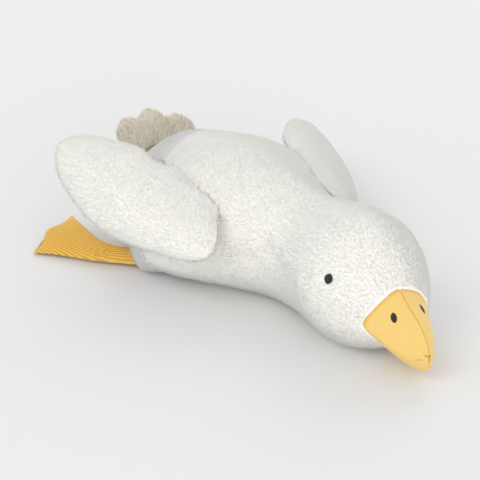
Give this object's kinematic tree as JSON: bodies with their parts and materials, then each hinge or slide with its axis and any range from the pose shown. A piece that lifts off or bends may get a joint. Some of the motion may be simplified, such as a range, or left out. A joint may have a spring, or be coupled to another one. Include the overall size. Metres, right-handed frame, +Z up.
{
  "type": "plush seagull pillow",
  "caption": "Stuffed seagull pillow lying on its belly: soft white pile body and wings, grey rump, taupe tail, corduroy feet and a felt beak.",
  "frame": {"origin": "On the surface the pillow rests on, under the broadest part of the belly, on the line from the neck to the tail root.", "axes": "+Z up, the bird faces -Y, its own right side is at -X and its left side at +X."},
  "size_m": [0.4568, 0.612, 0.1598],
  "materials": {
    "white pile": "short soft off-white pile, matte",
    "light grey pile": "smooth light grey velour, matte",
    "taupe pile": "longer taupe-grey pile, matte",
    "mustard corduroy": "mustard yellow corduroy with ribs along the leg",
    "yellow felt": "pale yellow brushed felt with a ridge seam",
    "black satin stitch": "black satin stitch with a slight sheen"
  },
  "bodies": {
    "root": {"body": "white pile", "rump": "light grey pile", "wing_right": "white pile", "wing_left": "white pile", "leg_right": "mustard corduroy", "leg_left": "mustard corduroy", "beak": "yellow felt", "tail": "taupe pile", "eye_right": "black satin stitch", "eye_left": "black satin stitch", "nostril_right": "black satin stitch", "nostril_left": "black satin stitch"}
  },
  "joints": []
}
